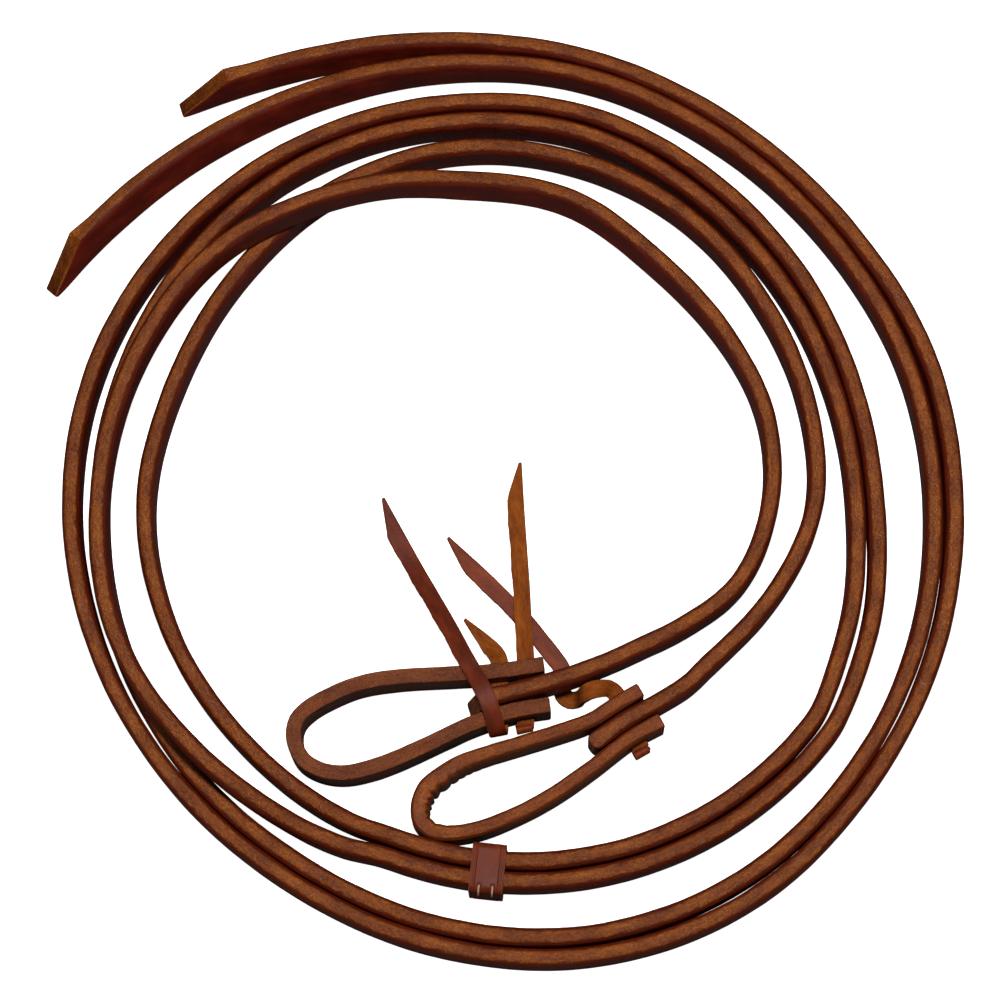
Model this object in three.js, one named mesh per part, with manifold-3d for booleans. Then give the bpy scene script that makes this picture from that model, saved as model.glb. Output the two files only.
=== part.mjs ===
// A pair of leather split reins, coiled on edge on a flat surface.
// Millimetres, +Z up. The straps' lower edges rest on z = 0 and the origin is under the middle of the part.
// Each rein is one long strap. Its bit end lies between the arms of a folded water loop, and a
// leather lace runs through slits in all three layers. A leather keeper slides along the two straps.

import * as THREE from 'three';
import { mergeVertices } from 'three/addons/utils/BufferGeometryUtils.js';
import Module from 'manifold-3d';

const wasm = await Module();
wasm.setup();

// Driving dimensions
const STRAP_WIDTH = 16;
const REIN_THICKNESS = 6.6;
const LOOP_THICKNESS = 5.6;
const LACE_WIDTH = 6.5;
const LACE_THICKNESS = 2;
const SLIT_WIDTH = 7.3;
const SLIT_HEIGHT = 2.8;
const TIE_HEIGHT = 8;
const EDGE_ROUNDING = 1.2;
const LACE_ROUNDING = 0.4;
const STRAP_STEP = 12;
const LOOP_STEP = 5.5;
const LACE_STEP = 3.6;

// Moves every piece along X, so that the origin is under the middle of the whole part.
const ORIGIN_OFFSET = 2.29;

// The coil. Radii of the straps' upper edges are stated every 20 degrees, from the bit end outwards.
const COIL_CENTRE = { x: 3.7, y: -7.6 };
const FIRST_ANGLE = -40;
const ANGLE_STEP = 20;
const LEFT_REIN_RADII = [
  75.3, 86.8, 93.8, 98.9, 102.1, 108.5, 119, 123.2, 133.4, 144.4, 148.6, 151, 152.7, 147.8, 142.2, 139.7, 141.3, 142.2,
  142.1, 137.8, 132.8, 133.4, 138.5, 146, 154.6, 159, 162.2, 164.1, 164.8, 163.4, 161.3, 160, 160.6, 164.4, 168.2, 168.5,
  164.7, 162.7, 161.8, 163.3, 164, 168.8, 176.7, 185.1, 197, 214.5,
];
const RIGHT_REIN_RADII = [
  92.3, 100.3, 110.2, 115.1, 120.8, 128.9, 135.7, 140.4, 140.1, 136.6, 134.7, 136.1, 134.4, 132.2, 131.9, 132.6, 133.2,
  134.5, 134.4, 129.7, 125.3, 126, 130.7, 137.9, 146.7, 151.2, 154.5, 154.7, 153.8, 153.2, 153.1, 153.1, 153.6, 157.3,
  160.6, 160.8, 157.9, 155.5, 154.1, 155.1, 156.7, 161.8, 169.4, 175.5, 181.9, 190.1, 199.2,
];
const COIL_START = -30;
const LEFT_COIL_END = 843.5;
const RIGHT_COIL_END = 868.2;
const CUT_SLOPE = 1.28;

// Between these angles the first turns are one true arc, which the keeper travels along.
const KEEPER_ARC = { x: 7.7, y: -9.1, from: 252, to: 322, fade: 10 };
const LEFT_ARC_RADIUS = 138.4;
const RIGHT_ARC_RADIUS = 131;
const KEEPER_LIFT = 2.6;

// How high each strap's lower edge is, and how far its upper edge leans out: [degrees round the coil, value].
const CROSSING_LIFT = STRAP_WIDTH + 0.4;
const LEFT_REIN_LIFT = [
  [-60, KEEPER_LIFT], [-30, 0], [60, 0], [112, CROSSING_LIFT], [219, CROSSING_LIFT], [246, KEEPER_LIFT],
  [325, KEEPER_LIFT], [345, 0],
];
const RIGHT_REIN_LIFT = [[235, 0], [250, KEEPER_LIFT], [325, KEEPER_LIFT], [345, 0]];
const LEFT_REIN_LEAN = [[30, 0], [60, 6], [98, 6], [114, 0], [790, 0], [835, 10]];
const RIGHT_REIN_LEAN = [[800, 0], [850, 17]];

// Bit ends of the reins, up to where their coils start.
const LEFT_LEAD_IN = [[-13, -83.2], [-1.9, -79.6], [11.9, -76], [24.1, -72.3], [39.6, -66.2], [50.7, -61], [60.1, -56.5]];
const RIGHT_LEAD_IN = [[31.3, -97.7], [34.9, -94.9], [45.3, -87.7], [55.7, -81.7], [66.2, -75.1], [73.6, -68]];

// Water loops: from the end of the far arm round the eye to the end of the near arm.
const LEFT_LOOP = [
  [14.4, -68.1], [-5.9, -71], [-16.5, -71.6], [-38.7, -72.9], [-52.5, -75.2], [-61.7, -78.8], [-70.8, -84.1],
  [-75.2, -89], [-76, -95.3], [-72.6, -103], [-65.9, -106.9], [-58, -108], [-47.5, -105.9], [-38.4, -102.5],
  [-20, -93.9], [-12.3, -90.3], [1.9, -85.5], [16.6, -83],
];
const RIGHT_LOOP = [
  [49.5, -77.5], [41.9, -81.9], [31.5, -88.4], [17.7, -93.4], [3.9, -97.7], [-9.9, -101.9], [-16.8, -104.7],
  [-23.6, -108.9], [-28.4, -113.1], [-30.8, -119.4], [-30.1, -125.2], [-26.2, -128.8], [-20.1, -129.8], [-9.8, -128.4],
  [3.9, -123.1], [17.7, -115.7], [31.4, -106.1], [45.3, -95.4], [57, -88.7],
];

// Laces: [x, y, z, direction of the lace's width in degrees from +X].
const LEFT_FRONT_LACE = [
  [-47.8, -3.6, 1.2, 25], [-41.1, -15.8, 1.2, 27], [-34, -28.8, 2, 28], [-27.1, -41.4, 6, 28], [-20, -54.8, 12, 28],
  [-14.5, -65.8, 16.9, 28], [-11.5, -71.3, 18.2, 28], [-8, -78, 20.4, 28], [-5.8, -82.8, 20.4, 26], [-4, -88.2, 18.6, 22],
  [-2.8, -92.2, 15.4, 16], [-2.2, -93.1, 11.6, 12], [-1.9, -92.2, 8.8, 8], [-1.8, -89.8, 8, 4], [-1.8, -78.8, 8, 4],
  [-1.8, -69, 8, 4], [-2, -65.5, 7.5, 12], [-3.6, -61.8, 4.6, 38], [-7.6, -57.6, 2, 50], [-16.6, -50.5, 1.2, 53],
];
const LEFT_BACK_LACE = [
  [2.8, 11.2, 1.2, -3], [3.9, -7.7, 1.2, -1], [5.1, -24.8, 1.8, 2], [6, -37.8, 3.8, 3], [6.6, -49.8, 5.8, 3],
  [7.3, -59.8, 7.6, 3], [7.6, -65.8, 8, 3], [7.6, -77.8, 8, 3], [7.6, -89.8, 8, 3],
];
const RIGHT_LACE = [
  [-23.1, -19.4, 1.2, 42], [-8.7, -32.8, 1.2, 42], [-2.3, -39.2, 1.2, 41], [7, -48.8, 1.2, 40],
  [13.2, -56.6, 1.2, 39], [18, -62.8, 1.2, 37], [20.9, -67.4, 1.2, 28], [21.3, -71, 1.2, 14],
  [20.9, -73.8, 1.2, 14], [21.2, -76.5, 1.2, 38], [23.4, -78.6, 1.3, 72], [25.8, -79, 2, 88],
  [27.3, -78.8, 4.5, 92], [28.3, -78.4, 8.5, 92], [30, -77.8, 12, 92], [33, -77, 13, 84],
  [36, -76.4, 11.4, 66], [38.8, -76.4, 9, 44], [40.9, -78.4, 8, 26], [45.2, -88, 8, 23], [49.5, -98.1, 8, 23],
];
const POINT_LENGTH = 14;
const POINT_WIDTH = 1.2;

// The lace's other end is rolled into a button that can't pass back through the slit.
const BUTTON_RADIUS = 2.3;
const LEFT_BUTTON = { x: 7.5, y: -90.4, turn: 13 };
const RIGHT_BUTTON = { x: 49.9, y: -99.1, turn: 30 };

// Slits for the laces: [x, y, direction of the lace in degrees from +X].
const SLIT_LENGTH = 27;
const LEFT_FRONT_SLIT = [-1.8, -78.8, 90];
const LEFT_BACK_SLIT = [7.6, -76.3, 90];
const RIGHT_SLIT = [45.2, -88, 113];

// Keeper band and the two stitches that close it.
const KEEPER_LENGTH = 12.2;
const KEEPER_WALL = 1.5;
const KEEPER_CLEARANCE = 0.6;
const KEEPER_FLOOR_GAP = 0.25;
const KEEPER_ANGLE = 264.3;
const STITCH_RADIUS = 0.4;
const STITCH_HOLE_RADIUS = 0.72;
const STITCH_SPACING = 4.9;
const STITCH_INSET = 2.5;
const STITCH_DROP = 4.6;

const LEATHER = {
  strap: { color: 0x7a3f1c, roughness: 0.55 },
  loop: { color: 0x74391b, roughness: 0.5 },
  lace: { color: 0x6b2413, roughness: 0.5 },
  keeper: { color: 0x5c2013, roughness: 0.42 },
  thread: { color: 0xb98f74, roughness: 0.7 },
};

const radians = (degrees) => degrees * Math.PI / 180;

function smoothValue(knots, at) {
  if (at <= knots[0][0]) return knots[0][1];
  for (let i = 1; i < knots.length; i += 1) {
    const [start, low] = knots[i - 1];
    const [end, high] = knots[i];
    if (at <= end) return low + (high - low) * THREE.MathUtils.smoothstep(at, start, end);
  }
  return knots[knots.length - 1][1];
}

function radiusAt(radii, angle) {
  const place = (angle - FIRST_ANGLE) / ANGLE_STEP;
  const i = Math.min(Math.floor(place), radii.length - 2);
  const t = place - i;
  const before = radii[Math.max(i - 1, 0)];
  const after = radii[Math.min(i + 2, radii.length - 1)];
  const startSlope = (radii[i + 1] - before) / 2;
  const endSlope = (after - radii[i]) / 2;
  const rise = radii[i + 1] - radii[i];
  return radii[i] + startSlope * t + (3 * rise - 2 * startSlope - endSlope) * t * t
    + (startSlope + endSlope - 2 * rise) * t * t * t;
}

// Distance from the coil's centre to the keeper's arc, in the direction of the angle.
function arcRadiusAt(arcRadius, angle) {
  const dx = KEEPER_ARC.x - COIL_CENTRE.x;
  const dy = KEEPER_ARC.y - COIL_CENTRE.y;
  const along = dx * Math.cos(radians(angle)) + dy * Math.sin(radians(angle));
  return along + Math.sqrt(arcRadius ** 2 - dx ** 2 - dy ** 2 + along ** 2);
}

function coilPoint(radii, arcRadius, angle) {
  const { from, to, fade } = KEEPER_ARC;
  const onArc = THREE.MathUtils.smoothstep(angle, from - fade, from)
    - THREE.MathUtils.smoothstep(angle, to, to + fade);
  const radius = THREE.MathUtils.lerp(radiusAt(radii, angle), arcRadiusAt(arcRadius, angle), onArc);
  return [COIL_CENTRE.x + radius * Math.cos(radians(angle)), COIL_CENTRE.y + radius * Math.sin(radians(angle))];
}

// Points of a rein's upper edge: the lead-in, then the turns of the coil.
function reinRoute({ leadIn, radii, arcRadius, coilEnd, lift, lean }) {
  const route = leadIn.map(([x, y]) => ({ x, y, lift: lift[0][1], lean: 0 }));
  const count = Math.ceil((coilEnd - COIL_START) / 5);
  for (let i = 0; i <= count; i += 1) {
    const angle = COIL_START + (coilEnd - COIL_START) * i / count;
    const [x, y] = coilPoint(radii, arcRadius, angle);
    route.push({ x, y, lift: smoothValue(lift, angle), lean: smoothValue(lean, angle) });
  }
  return route;
}

// A rectangle with its corners cut off, as [across the thickness, along the width].
function strapSection(thickness, width, rounding) {
  const t = thickness / 2;
  const w = width / 2;
  const r = rounding;
  return [[t, w - r], [t - r, w], [r - t, w], [-t, w - r], [-t, r - w], [r - t, -w], [t - r, -w], [t, r - w]];
}

// Joins rings of equal size into one closed solid with flat ends.
function solidFromRings(rings) {
  const sides = rings[0].length;
  const indices = [];
  for (let ring = 0; ring < rings.length - 1; ring += 1) {
    for (let i = 0; i < sides; i += 1) {
      const a = ring * sides + i;
      const b = ring * sides + (i + 1) % sides;
      indices.push(a, a + sides, b, b, a + sides, b + sides);
    }
  }
  const last = (rings.length - 1) * sides;
  for (let i = 1; i < sides - 1; i += 1) {
    indices.push(0, i, i + 1, last, last + i + 1, last + i);
  }
  const geometry = new THREE.BufferGeometry();
  geometry.setAttribute('position', new THREE.Float32BufferAttribute(rings.flat().flatMap((p) => p.toArray()), 3));
  geometry.setIndex(indices);
  return geometry;
}

// Evenly spaced points and tangents on a smooth curve, with the other values of the route in between.
function sampleRoute(points, values, step) {
  const curve = new THREE.CatmullRomCurve3(points, false, 'centripetal');
  curve.arcLengthDivisions = points.length * 12;
  const count = Math.round(curve.getLength() / step);
  const samples = [];
  for (let i = 0; i <= count; i += 1) {
    const t = curve.getUtoTmapping(i / count);
    const place = t * (points.length - 1);
    const index = Math.min(Math.floor(place), points.length - 2);
    const value = values[index].map((v, k) => THREE.MathUtils.lerp(v, values[index + 1][k], place - index));
    samples.push({ point: curve.getPoint(t), tangent: curve.getTangent(t), value, along: curve.getLength() * i / count });
  }
  return samples;
}

// A strap standing on its edge. The route is its upper edge, and a slanting cut slopes its far end.
function strapOnEdge(route, { thickness, step, cutEnd = false }) {
  const points = route.map((p) => new THREE.Vector3(p.x, p.y, 0));
  const samples = sampleRoute(points, route.map((p) => [p.lift, p.lean]), step);
  const section = strapSection(thickness, STRAP_WIDTH, EDGE_ROUNDING);
  const rings = samples.map(({ point, tangent, value: [lift, lean] }, index) => {
    const outward = new THREE.Vector3(tangent.y, -tangent.x, 0).normalize();
    const tilt = radians(lean);
    const up = new THREE.Vector3(0, 0, Math.cos(tilt)).addScaledVector(outward, Math.sin(tilt));
    const across = outward.clone().multiplyScalar(Math.cos(tilt)).add(new THREE.Vector3(0, 0, -Math.sin(tilt)));
    const centre = point.clone().addScaledVector(outward, -Math.sin(tilt) * STRAP_WIDTH / 2);
    centre.z = lift + Math.cos(tilt) * STRAP_WIDTH / 2 + Math.sin(tilt) * thickness / 2;
    const slope = cutEnd && index === samples.length - 1 ? -CUT_SLOPE : 0;
    return section.map(([u, w]) => centre.clone().addScaledVector(across, u).addScaledVector(up, w)
      .addScaledVector(tangent, slope * (w - STRAP_WIDTH / 2)));
  });
  return solidFromRings(rings);
}

// A flat lace. Its pointed ends are cut on one side.
function laceAlong(route, { pointedStart = true, pointedEnd = false }) {
  const points = route.map(([x, y, z]) => new THREE.Vector3(x, y, z));
  const samples = sampleRoute(points, route.map((p) => [p[3]]), LACE_STEP);
  const total = samples[samples.length - 1].along;
  const rings = samples.map(({ point, tangent, value: [turn], along }) => {
    const side = new THREE.Vector3(Math.cos(radians(turn)), Math.sin(radians(turn)), 0);
    const normal = tangent.clone().cross(side).normalize();
    side.crossVectors(normal, tangent).normalize();
    const fromPoint = Math.min(pointedStart ? along : total, pointedEnd ? total - along : total);
    const narrowing = THREE.MathUtils.clamp(fromPoint / POINT_LENGTH, 0, 1);
    const width = POINT_WIDTH + (LACE_WIDTH - POINT_WIDTH) * narrowing;
    const centre = point.clone().addScaledVector(side, (LACE_WIDTH - width) / 2);
    const section = strapSection(LACE_THICKNESS, width, LACE_ROUNDING);
    return section.map(([u, w]) => centre.clone().addScaledVector(normal, u).addScaledVector(side, w));
  });
  return solidFromRings(rings);
}

function toManifold(geometry) {
  const bare = geometry.clone();
  bare.deleteAttribute('normal');
  bare.deleteAttribute('uv');
  const merged = mergeVertices(bare, 1e-4);
  const vertProperties = new Float32Array(merged.attributes.position.array);
  const triVerts = new Uint32Array(merged.index.array);
  return new wasm.Manifold(new wasm.Mesh({ numProp: 3, vertProperties, triVerts }));
}

function fromManifold(solid) {
  const mesh = solid.getMesh();
  const geometry = new THREE.BufferGeometry();
  geometry.setAttribute('position', new THREE.BufferAttribute(mesh.vertProperties, 3));
  geometry.setIndex(new THREE.BufferAttribute(mesh.triVerts, 1));
  return geometry;
}

function cutAll(geometry, cutters) {
  const cut = cutters.reduce((solid, cutter) => solid.subtract(toManifold(cutter)), toManifold(geometry));
  return fromManifold(cut);
}

function slitCutter([x, y, direction]) {
  const cutter = new THREE.BoxGeometry(SLIT_LENGTH, SLIT_WIDTH, SLIT_HEIGHT);
  cutter.rotateZ(radians(direction));
  cutter.translate(x, y, TIE_HEIGHT);
  return cutter;
}

function rolledButton({ x, y, turn }) {
  const roll = new THREE.CylinderGeometry(BUTTON_RADIUS, BUTTON_RADIUS, LACE_WIDTH, 12);
  roll.rotateZ(Math.PI / 2);
  roll.rotateZ(radians(turn));
  roll.translate(x, y, TIE_HEIGHT);
  return roll;
}

function laceWithButton(route, button) {
  const lace = toManifold(laceAlong(route, {}));
  return fromManifold(lace.add(toManifold(rolledButton(button))));
}

function rectanglePath(PathType, halfWidth, bottom, top, rounding) {
  const path = new PathType();
  path.moveTo(halfWidth, bottom + rounding);
  path.lineTo(halfWidth, top - rounding);
  path.absarc(halfWidth - rounding, top - rounding, rounding, 0, Math.PI / 2);
  path.absarc(rounding - halfWidth, top - rounding, rounding, Math.PI / 2, Math.PI);
  path.absarc(rounding - halfWidth, bottom + rounding, rounding, Math.PI, 1.5 * Math.PI);
  path.absarc(halfWidth - rounding, bottom + rounding, rounding, 1.5 * Math.PI, 2 * Math.PI);
  return path;
}

// Moves a piece of the keeper from its own place at the origin to its place on the arc.
// There X points away from the arc's centre and Y along the straps.
function placeOnArc(geometry) {
  const middle = (LEFT_ARC_RADIUS + RIGHT_ARC_RADIUS) / 2;
  geometry.translate(middle, 0, 0);
  geometry.rotateZ(radians(KEEPER_ANGLE));
  geometry.translate(KEEPER_ARC.x, KEEPER_ARC.y, 0);
  return geometry;
}

const KEEPER_HALF_INSIDE = (LEFT_ARC_RADIUS - RIGHT_ARC_RADIUS + REIN_THICKNESS) / 2 + KEEPER_CLEARANCE;
const KEEPER_TOP = KEEPER_LIFT + STRAP_WIDTH + KEEPER_CLEARANCE + KEEPER_WALL;

const KEEPER_HALF_OUTSIDE = KEEPER_HALF_INSIDE + KEEPER_WALL;

// A hole through the band's top and one through its outer wall, for one stitch.
function stitchHoles(along) {
  const down = new THREE.CylinderGeometry(STITCH_HOLE_RADIUS, STITCH_HOLE_RADIUS, 2 * KEEPER_WALL, 10);
  const across = down.clone();
  down.rotateX(Math.PI / 2);
  down.translate(KEEPER_HALF_OUTSIDE - STITCH_INSET, along, KEEPER_TOP - KEEPER_WALL / 2);
  across.rotateZ(Math.PI / 2);
  across.translate(KEEPER_HALF_OUTSIDE - KEEPER_WALL / 2, along, KEEPER_TOP - STITCH_DROP);
  return [down, across];
}

function keeperBand() {
  const outline = rectanglePath(THREE.Shape, KEEPER_HALF_OUTSIDE, KEEPER_FLOOR_GAP, KEEPER_TOP, 2.6);
  const inside = rectanglePath(
    THREE.Path, KEEPER_HALF_INSIDE, KEEPER_FLOOR_GAP + KEEPER_WALL, KEEPER_TOP - KEEPER_WALL, 1,
  );
  outline.holes.push(inside);
  const band = new THREE.ExtrudeGeometry(outline, { depth: KEEPER_LENGTH, bevelEnabled: false, curveSegments: 5 });
  band.translate(0, 0, -KEEPER_LENGTH / 2);
  band.rotateX(Math.PI / 2);
  return placeOnArc(cutAll(band, [-1, 1].flatMap((side) => stitchHoles(side * STITCH_SPACING / 2))));
}

// One visible stitch: thread that comes up through the top, over the corner and back in through the wall.
function keeperStitch(along) {
  const inset = KEEPER_HALF_OUTSIDE - STITCH_INSET;
  const drop = KEEPER_TOP - STITCH_DROP;
  const height = STITCH_RADIUS + 0.3;
  const path = new THREE.CatmullRomCurve3([
    new THREE.Vector3(inset, along, KEEPER_TOP - KEEPER_WALL), new THREE.Vector3(inset, along, KEEPER_TOP - 0.3),
    new THREE.Vector3(inset + 0.4, along, KEEPER_TOP + height),
    new THREE.Vector3(KEEPER_HALF_OUTSIDE - 0.15, along, KEEPER_TOP - 0.15),
    new THREE.Vector3(KEEPER_HALF_OUTSIDE + height, along, drop + 0.4),
    new THREE.Vector3(KEEPER_HALF_OUTSIDE - 0.3, along, drop),
    new THREE.Vector3(KEEPER_HALF_OUTSIDE - KEEPER_WALL, along, drop),
  ], false, 'centripetal');
  const round = new THREE.Shape();
  round.absarc(0, 0, STITCH_RADIUS, 0, 2 * Math.PI);
  const thread = new THREE.ExtrudeGeometry(round, { steps: 24, extrudePath: path, curveSegments: 4, bevelEnabled: false });
  return placeOnArc(thread);
}

function addPiece(group, name, geometry, leather) {
  geometry.translate(ORIGIN_OFFSET, 0, 0);
  const material = new THREE.MeshStandardMaterial({ ...leather, metalness: 0 });
  const mesh = new THREE.Mesh(geometry, material);
  mesh.name = name;
  group.add(mesh);
}

function addReins(group) {
  const left = reinRoute({
    leadIn: LEFT_LEAD_IN, radii: LEFT_REIN_RADII, arcRadius: LEFT_ARC_RADIUS, coilEnd: LEFT_COIL_END,
    lift: LEFT_REIN_LIFT, lean: LEFT_REIN_LEAN,
  });
  const right = reinRoute({
    leadIn: RIGHT_LEAD_IN, radii: RIGHT_REIN_RADII, arcRadius: RIGHT_ARC_RADIUS, coilEnd: RIGHT_COIL_END,
    lift: RIGHT_REIN_LIFT, lean: RIGHT_REIN_LEAN,
  });
  const shape = { thickness: REIN_THICKNESS, step: STRAP_STEP, cutEnd: true };
  const leftSlits = [slitCutter(LEFT_FRONT_SLIT), slitCutter(LEFT_BACK_SLIT)];
  addPiece(group, 'left_rein_strap', cutAll(strapOnEdge(left, shape), leftSlits), LEATHER.strap);
  addPiece(group, 'right_rein_strap', cutAll(strapOnEdge(right, shape), [slitCutter(RIGHT_SLIT)]), LEATHER.strap);
}

function addWaterLoops(group) {
  const shape = { thickness: LOOP_THICKNESS, step: LOOP_STEP };
  const flat = (points) => points.map(([x, y]) => ({ x, y, lift: 0, lean: 0 }));
  const leftSlits = [slitCutter(LEFT_FRONT_SLIT), slitCutter(LEFT_BACK_SLIT)];
  addPiece(group, 'left_water_loop', cutAll(strapOnEdge(flat(LEFT_LOOP), shape), leftSlits), LEATHER.loop);
  addPiece(group, 'right_water_loop', cutAll(strapOnEdge(flat(RIGHT_LOOP), shape), [slitCutter(RIGHT_SLIT)]), LEATHER.loop);
}

function addLaces(group) {
  addPiece(group, 'left_tie_lace_front', laceAlong(LEFT_FRONT_LACE, { pointedEnd: true }), LEATHER.lace);
  addPiece(group, 'left_tie_lace_back', laceWithButton(LEFT_BACK_LACE, LEFT_BUTTON), LEATHER.lace);
  addPiece(group, 'right_tie_lace', laceWithButton(RIGHT_LACE, RIGHT_BUTTON), LEATHER.lace);
}

function addKeeper(group) {
  addPiece(group, 'keeper_band', keeperBand(), LEATHER.keeper);
  [-1, 1].forEach((side, index) => {
    addPiece(group, `keeper_stitch_${index + 1}`, keeperStitch(side * STITCH_SPACING / 2), LEATHER.thread);
  });
}

const reins = new THREE.Group();
addReins(reins);
addWaterLoops(reins);
addLaces(reins);
addKeeper(reins);

export default reins;
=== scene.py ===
"""Looks for a pair of leather split reins, coiled on edge on a pale floor.

Lengths in the point lists are millimetres, as in the CAD source. Everything made is in metres.
"""

import math

import bpy
import numpy as np
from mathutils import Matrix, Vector


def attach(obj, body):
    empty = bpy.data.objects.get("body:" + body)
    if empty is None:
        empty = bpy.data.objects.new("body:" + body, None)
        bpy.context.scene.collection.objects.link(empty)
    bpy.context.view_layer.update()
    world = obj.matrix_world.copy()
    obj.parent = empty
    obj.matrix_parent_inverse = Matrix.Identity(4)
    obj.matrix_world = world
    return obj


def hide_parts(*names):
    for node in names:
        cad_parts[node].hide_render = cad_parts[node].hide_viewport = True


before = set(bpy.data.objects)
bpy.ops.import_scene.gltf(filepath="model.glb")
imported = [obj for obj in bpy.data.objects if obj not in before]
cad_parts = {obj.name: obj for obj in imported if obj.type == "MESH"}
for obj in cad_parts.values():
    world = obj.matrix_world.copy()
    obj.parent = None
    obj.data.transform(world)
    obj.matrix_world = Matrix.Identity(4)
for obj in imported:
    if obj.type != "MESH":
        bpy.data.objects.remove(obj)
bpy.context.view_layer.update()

MM = 0.001

# Driving dimensions, as in the CAD source
STRAP_WIDTH = 16
REIN_THICKNESS = 6.6
LOOP_THICKNESS = 5.6
LACE_WIDTH = 6.5
LACE_THICKNESS = 2
SLIT_WIDTH = 7.3
SLIT_HEIGHT = 2.8
SLIT_LENGTH = 27
TIE_HEIGHT = 8
KEEPER_LIFT = 2.6
ORIGIN_OFFSET = 2.29

# The slanted cut at a rein's free end: its slope, how far the blunted tip reaches, and the length it comes in over
CUT_SLOPE = 1.28
TIP_REACH = 19.6
CUT_FADE = 30
# The left rein's bit end is cut a little askew
LEFT_END_SLANT = 5.0
SLANT_FADE = 20
RIGHT_END_ROUNDING = 2.6

# The coil. Radii of the straps' upper edges every 20 degrees, from the bit end outwards
COIL_CENTRE = (3.7, -7.6)
FIRST_ANGLE = -40
ANGLE_STEP = 20
LEFT_REIN_RADII = [
    75.3, 86.8, 93.8, 98.9, 102.1, 108.5, 119, 123.2, 133.4, 144.4, 148.6, 151, 152.7, 147.8, 142.2, 139.7,
    141.3, 142.2, 142.1, 137.8, 132.8, 133.4, 138.5, 146, 154.6, 159, 162.2, 164.1, 164.8, 163.4, 161.3, 160,
    160.6, 164.4, 168.2, 168.5, 164.7, 162.7, 161.8, 163.3, 164, 168.8, 176.7, 185.1, 197, 214.5,
]
RIGHT_REIN_RADII = [
    92.3, 100.3, 110.2, 115.1, 120.8, 128.9, 135.7, 140.4, 140.1, 136.6, 134.7, 136.1, 134.4, 132.2, 131.9,
    132.6, 133.2, 134.5, 134.4, 129.7, 125.3, 126, 130.7, 137.9, 146.7, 151.2, 154.5, 154.7, 153.8, 153.2,
    153.1, 153.1, 153.6, 157.3, 160.6, 160.8, 157.9, 155.5, 154.1, 155.1, 156.7, 161.8, 169.4, 175.5, 181.9,
    190.1, 199.2,
]
COIL_START = -30
LEFT_COIL_END = 843.5
RIGHT_COIL_END = 868.2
KEEPER_ARC = {"x": 7.7, "y": -9.1, "from": 252, "to": 322, "fade": 10}
LEFT_ARC_RADIUS = 138.4
RIGHT_ARC_RADIUS = 131

# Height of each strap's lower edge, and how far its upper edge leans out: [degrees round the coil, value]
CROSSING_LIFT = STRAP_WIDTH + 0.4
LEFT_REIN_LIFT = [
    [-60, KEEPER_LIFT], [-30, 0], [60, 0], [112, CROSSING_LIFT], [219, CROSSING_LIFT], [246, KEEPER_LIFT],
    [325, KEEPER_LIFT], [345, 0],
]
RIGHT_REIN_LIFT = [[235, 0], [250, KEEPER_LIFT], [325, KEEPER_LIFT], [345, 0]]
LEFT_REIN_LEAN = [[30, 0], [60, 6], [98, 6], [114, 0], [790, 0], [835, 10]]
RIGHT_REIN_LEAN = [[800, 0], [850, 17]]

LEFT_LEAD_IN = [
    [-13, -83.2], [-1.9, -79.6], [11.9, -76], [24.1, -72.3], [39.6, -66.2], [50.7, -61], [60.1, -56.5],
]
RIGHT_LEAD_IN = [[31.3, -97.7], [34.9, -94.9], [45.3, -87.7], [55.7, -81.7], [66.2, -75.1], [73.6, -68]]

LEFT_LOOP = [
    [14.4, -68.1], [-5.9, -71], [-16.5, -71.6], [-38.7, -72.9], [-52.5, -75.2], [-61.7, -78.8],
    [-70.8, -84.1], [-75.2, -89], [-76, -95.3], [-72.6, -103], [-65.9, -106.9], [-58, -108], [-47.5, -105.9],
    [-38.4, -102.5], [-20, -93.9], [-12.3, -90.3], [1.9, -85.5], [16.6, -83],
]
RIGHT_LOOP = [
    [49.5, -77.5], [41.9, -81.9], [31.5, -88.4], [17.7, -93.4], [3.9, -97.7], [-9.9, -101.9],
    [-16.8, -104.7], [-23.6, -108.9], [-28.4, -113.1], [-30.8, -119.4], [-30.1, -125.2], [-26.2, -128.8],
    [-20.1, -129.8], [-9.8, -128.4], [3.9, -123.1], [17.7, -115.7], [31.4, -106.1], [45.3, -95.4],
    [57, -88.7],
]

# Laces: [x, y, z, direction of the lace's width in degrees from +X]
LEFT_FRONT_LACE = [
    [-47.8, -3.6, 1.2, 25], [-41.1, -15.8, 1.2, 27], [-34, -28.8, 2, 28], [-27.1, -41.4, 6, 28],
    [-20, -54.8, 12, 28], [-14.5, -65.8, 16.9, 28], [-11.5, -71.3, 18.2, 28], [-8, -78, 20.4, 28],
    [-5.8, -82.8, 20.4, 26], [-4, -88.2, 18.6, 22], [-2.8, -92.2, 15.4, 16], [-2.2, -93.1, 11.6, 12],
    [-1.9, -92.2, 8.8, 8], [-1.8, -89.8, 8, 4], [-1.8, -78.8, 8, 4], [-1.8, -69, 8, 4],
    [-2, -65.5, 7.5, 12], [-3.6, -61.8, 4.6, 38], [-7.6, -57.6, 2, 50], [-16.6, -50.5, 1.2, 53],
]
LEFT_BACK_LACE = [
    [2.8, 11.2, 1.2, -3], [3.9, -7.7, 1.2, -1], [5.1, -24.8, 1.8, 2], [6, -37.8, 3.8, 3], [6.6, -49.8, 5.8, 3],
    [7.3, -59.8, 7.6, 3], [7.6, -65.8, 8, 3], [7.6, -77.8, 8, 3], [7.6, -89.8, 8, 3],
]
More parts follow.
